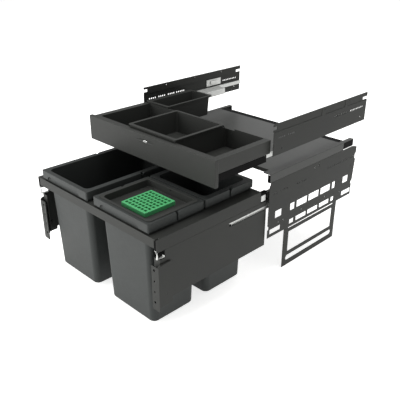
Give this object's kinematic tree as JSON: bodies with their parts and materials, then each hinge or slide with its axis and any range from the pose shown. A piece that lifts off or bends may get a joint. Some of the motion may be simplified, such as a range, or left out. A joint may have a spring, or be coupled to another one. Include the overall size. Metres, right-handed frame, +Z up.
{
  "type": "pull-out waste sorter",
  "caption": "Built-in pull-out waste sorter for a kitchen cabinet: bins hanging in a steel frame on full-extension runners, filter lid, cover shelf, storage drawer and side wall plates.",
  "frame": {"origin": "on the cabinet floor, below the middle of the bounding box with the pull-out and the drawer fully open", "axes": "+Z up, +Y from the cabinet's front towards its back, +X to the right seen from the front"},
  "size_m": [0.564, 0.919, 0.498],
  "materials": {
    "steel_anthracite": "powder-coated, satin",
    "shelf_anthracite": "powder-coated, smooth satin",
    "bin_plastic": "moulded, fine matt grain",
    "drawer_plastic": "moulded, fine matt grain",
    "black_plastic": "moulded, matt",
    "runner_steel": "zinc-plated, rolled",
    "screw_steel": "zinc-plated",
    "grid_green": "moulded, satin",
    "filter_foam": "open-cell activated-carbon foam",
    "badge_metal": "polished"
  },
  "bodies": {
    "cabinet_fixed": {"lower_wall_plate_left": "steel_anthracite", "lower_wall_plate_right": "steel_anthracite", "leg_screw_left_front": "screw_steel", "leg_screw_left_rear": "screw_steel", "leg_screw_right_front": "screw_steel", "leg_screw_right_rear": "screw_steel", "cover_shelf": "shelf_anthracite", "shelf_rear_profile": "black_plastic", "shelf_end_clip_left": "black_plastic", "shelf_end_clip_right": "black_plastic", "shelf_front_cap_left": "black_plastic", "shelf_front_cap_right": "black_plastic", "upper_wall_plate_left": "steel_anthracite", "upper_wall_plate_right": "steel_anthracite", "drawer_damper_plate_left": "runner_steel", "drawer_damper_plate_right": "runner_steel", "pullout_runner_fixed_left": "runner_steel", "pullout_runner_fixed_right": "runner_steel", "drawer_runner_fixed_left": "runner_steel", "drawer_runner_fixed_right": "runner_steel"},
    "leg_left": {"leg_frame_left": "steel_anthracite"},
    "leg_right": {"leg_frame_right": "steel_anthracite"},
    "pullout": {"frame_front_rail": "steel_anthracite", "frame_rear_rail": "steel_anthracite", "frame_centre_bar": "steel_anthracite", "frame_cross_bar": "steel_anthracite", "frame_side_rail_left": "steel_anthracite", "frame_side_rail_right": "steel_anthracite", "side_cover_left": "steel_anthracite", "side_cover_right": "steel_anthracite", "front_bracket_left": "steel_anthracite", "front_bracket_right": "steel_anthracite", "bracket_screw_left": "screw_steel", "bracket_screw_right": "screw_steel", "runner_rear_housing_left": "black_plastic", "runner_rear_housing_right": "black_plastic", "pullout_runner_inner_left": "runner_steel", "pullout_runner_inner_right": "runner_steel", "pullout_runner_hook_left": "runner_steel", "pullout_runner_hook_right": "runner_steel"},
    "pullout_middle_left": {"pullout_runner_middle_left": "runner_steel"},
    "pullout_middle_right": {"pullout_runner_middle_right": "runner_steel"},
    "bin_left": {"bin_left": "bin_plastic"},
    "bin_right_front": {"bin_right_front": "bin_plastic"},
    "bin_right_rear": {"bin_right_rear": "bin_plastic"},
    "filter_lid": {"filter_lid": "drawer_plastic"},
    "filter_grid": {"filter_grid": "grid_green", "filter_pad": "filter_foam"},
    "drawer": {"drawer_tray": "drawer_plastic", "drawer_front": "drawer_plastic", "drawer_badge": "badge_metal", "drawer_runner_inner_left": "black_plastic", "drawer_runner_inner_right": "black_plastic"},
    "drawer_middle_left": {"drawer_runner_middle_left": "runner_steel"},
    "drawer_middle_right": {"drawer_runner_middle_right": "runner_steel"},
    "insert_box": {"insert_box": "drawer_plastic"},
    "rear_box": {"rear_box": "drawer_plastic"}
  },
  "joints": [
    {"name": "pullout_slide", "type": "slide", "parent": "cabinet_fixed", "child": "pullout", "axis": [0, -1, 0], "range_m": [-0.422, 0]},
    {"name": "pullout_middle_left_slide", "type": "slide", "parent": "cabinet_fixed", "child": "pullout_middle_left", "axis": [0, -1, 0], "range_m": [-0.211, 0]},
    {"name": "pullout_middle_right_slide", "type": "slide", "parent": "cabinet_fixed", "child": "pullout_middle_right", "axis": [0, -1, 0], "range_m": [-0.211, 0]},
    {"name": "drawer_slide", "type": "slide", "parent": "cabinet_fixed", "child": "drawer", "axis": [0, -1, 0], "range_m": [-0.22, 0]},
    {"name": "drawer_middle_left_slide", "type": "slide", "parent": "cabinet_fixed", "child": "drawer_middle_left", "axis": [0, -1, 0], "range_m": [-0.11, 0]},
    {"name": "drawer_middle_right_slide", "type": "slide", "parent": "cabinet_fixed", "child": "drawer_middle_right", "axis": [0, -1, 0], "range_m": [-0.11, 0]},
    {"name": "bin_left_lift", "type": "slide", "parent": "pullout", "child": "bin_left", "axis": [0, 0, 1], "range_m": [0, 0.028]},
    {"name": "bin_right_front_lift", "type": "slide", "parent": "pullout", "child": "bin_right_front", "axis": [0, 0, 1], "range_m": [0, 0.34]},
    {"name": "bin_right_rear_lift", "type": "slide", "parent": "pullout", "child": "bin_right_rear", "axis": [0, 0, 1], "range_m": [0, 0.028]},
    {"name": "filter_lid_lift", "type": "slide", "parent": "bin_right_front", "child": "filter_lid", "axis": [0, 0, 1], "range_m": [0, 0.06]},
    {"name": "filter_grid_lift", "type": "slide", "parent": "filter_lid", "child": "filter_grid", "axis": [0, 0, 1], "range_m": [0, 0.04]},
    {"name": "insert_box_lift", "type": "slide", "parent": "drawer", "child": "insert_box", "axis": [0, 0, 1], "range_m": [0, 0.09]},
    {"name": "rear_box_lift", "type": "slide", "parent": "drawer", "child": "rear_box", "axis": [0, 0, 1], "range_m": [0, 0.09]},
    {"name": "leg_left_adjust", "type": "slide", "parent": "cabinet_fixed", "child": "leg_left", "axis": [0, 0, 1], "range_m": [-0.015, 0.015]},
    {"name": "leg_right_adjust", "type": "slide", "parent": "cabinet_fixed", "child": "leg_right", "axis": [0, 0, 1], "range_m": [-0.015, 0.015]}
  ],
  "couplings": [
    {"joint": "pullout_middle_left_slide", "follows": "pullout_slide", "ratio": 0.5},
    {"joint": "pullout_middle_right_slide", "follows": "pullout_slide", "ratio": 0.5},
    {"joint": "drawer_middle_left_slide", "follows": "drawer_slide", "ratio": 0.5},
    {"joint": "drawer_middle_right_slide", "follows": "drawer_slide", "ratio": 0.5}
  ]
}
